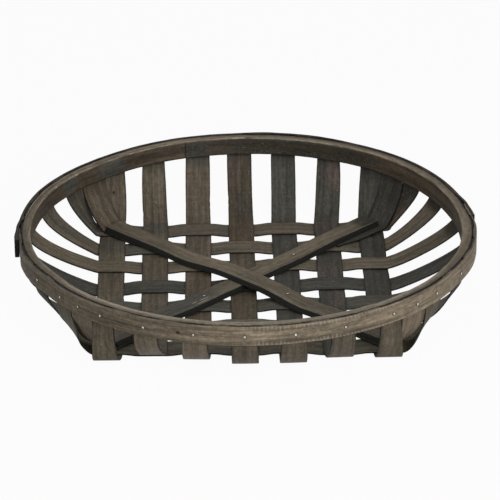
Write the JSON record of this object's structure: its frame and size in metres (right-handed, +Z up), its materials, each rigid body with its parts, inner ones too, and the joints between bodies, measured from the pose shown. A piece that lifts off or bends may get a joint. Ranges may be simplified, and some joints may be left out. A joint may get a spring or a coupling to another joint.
{
  "type": "tobacco basket",
  "caption": "Shallow round-rimmed basket of flat wooden splints in an open plain weave with short corner splints and crossed braces, nailed between bent wooden hoops.",
  "frame": {"origin": "on the floor's underside at the middle of the basket, where it rests on a table", "axes": "+Z up out of the bowl, -Y towards the front, +X to the right"},
  "size_m": [0.504, 0.5019, 0.076],
  "materials": {
    "splint_brown": "dark brown stained sawn splint, dry matt",
    "splint_grey": "charcoal grey stained sawn splint, dry matt",
    "brace": "grey brown stained batten with near-black sides",
    "hoop_inner": "grey brown stained bent hoop with a worn pale edge",
    "hoop_back": "dark grey brown stained thin bent band",
    "hoop_front": "tan brown rough sawn thin bent band",
    "nail": "bright bare steel nail head"
  },
  "bodies": {
    "root": {"column_splint_1": "splint_brown", "column_splint_2": "splint_brown", "column_splint_3": "splint_brown", "column_splint_4": "splint_grey", "column_splint_5": "splint_grey", "column_splint_6": "splint_grey", "column_splint_7": "splint_grey", "row_splint_1": "splint_brown", "row_splint_2": "splint_brown", "row_splint_3": "splint_brown", "row_splint_4": "splint_grey", "row_splint_5": "splint_grey", "row_splint_6": "splint_brown", "row_splint_7": "splint_grey", "corner_splint_back_right": "splint_grey", "corner_splint_front_right": "splint_brown", "corner_splint_front_left": "splint_brown", "corner_splint_back_left": "splint_brown", "brace_lower": "brace", "brace_upper": "brace", "inner_hoop": "hoop_inner", "outer_hoop_back": "hoop_back", "outer_hoop_front": "hoop_front", "rim_nail_column_1_front": "nail", "rim_nail_column_2_front": "nail", "rim_nail_column_3_front": "nail", "rim_nail_column_4_front": "nail", "rim_nail_column_5_front": "nail", "rim_nail_column_6_front": "nail", "rim_nail_column_7_front": "nail", "rim_nail_column_1_back": "nail", "rim_nail_column_2_back": "nail", "rim_nail_column_3_back": "nail", "rim_nail_column_4_back": "nail", "rim_nail_column_5_back": "nail", "rim_nail_column_6_back": "nail", "rim_nail_column_7_back": "nail", "rim_nail_row_1_left": "nail", "rim_nail_row_2_left": "nail", "rim_nail_row_3_left": "nail", "rim_nail_row_4_left": "nail", "rim_nail_row_5_left": "nail", "rim_nail_row_6_left": "nail", "rim_nail_row_7_left": "nail", "rim_nail_row_1_right": "nail", "rim_nail_row_2_right": "nail", "rim_nail_row_3_right": "nail", "rim_nail_row_4_right": "nail", "rim_nail_row_5_right": "nail", "rim_nail_row_6_right": "nail", "rim_nail_row_7_right": "nail", "rim_nail_corner_front_left": "nail", "rim_nail_corner_back_right": "nail", "rim_nail_corner_front_right": "nail", "rim_nail_corner_back_left": "nail", "brace_nail_lower_front": "nail", "brace_nail_lower_back": "nail", "brace_nail_upper_front": "nail"}
  },
  "joints": []
}
